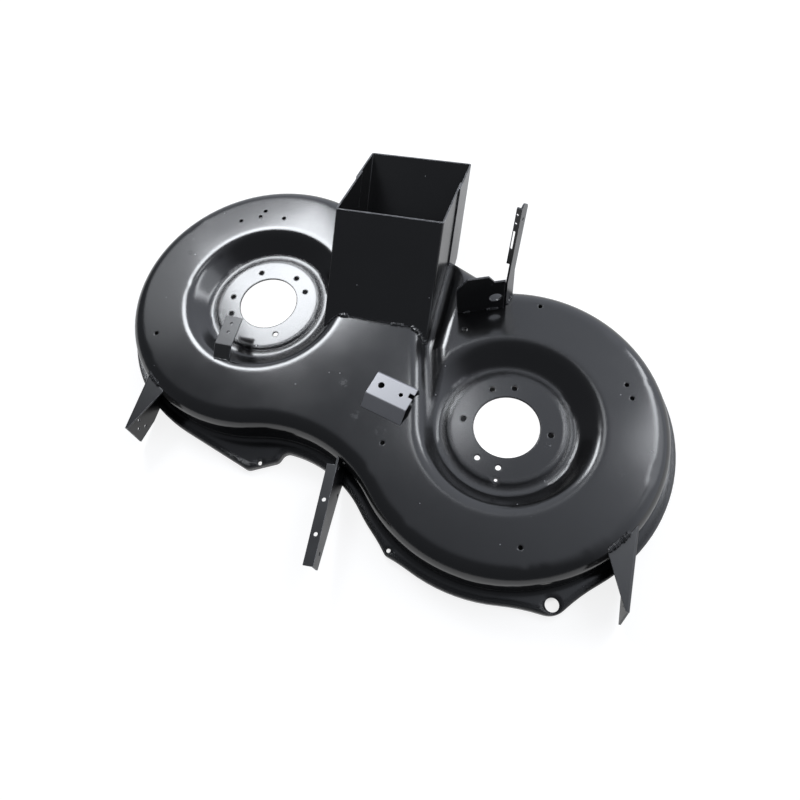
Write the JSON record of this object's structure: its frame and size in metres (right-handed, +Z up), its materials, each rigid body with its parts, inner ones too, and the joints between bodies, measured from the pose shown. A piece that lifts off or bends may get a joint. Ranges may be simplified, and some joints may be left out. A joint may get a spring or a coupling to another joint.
{
  "type": "lawn mower deck",
  "caption": "Black pressed-steel twin-blade lawn mower deck with dished spindle seats, a sloped rear discharge chute, a turned-down skirt and welded brackets.",
  "frame": {"origin": "under the middle of the deck's overall width and length, at the height of the skirt's lower lip", "axes": "+X to the deck's right, seen from behind it; +Y to the rear, where the chute points; +Z up"},
  "size_m": [0.952, 0.7252, 0.2624],
  "materials": {
    "black_paint": "satin-gloss black coating on pressed steel"
  },
  "bodies": {
    "root": {"deck_shell": "black_paint", "chute_front_channel": "black_paint", "chute_rear_channel": "black_paint", "front_left_bracket": "black_paint", "front_right_bracket": "black_paint", "front_centre_arm": "black_paint", "rear_arm": "black_paint", "rear_cross_plate": "black_paint", "crown_bracket": "black_paint", "dish_bracket": "black_paint"}
  },
  "joints": []
}
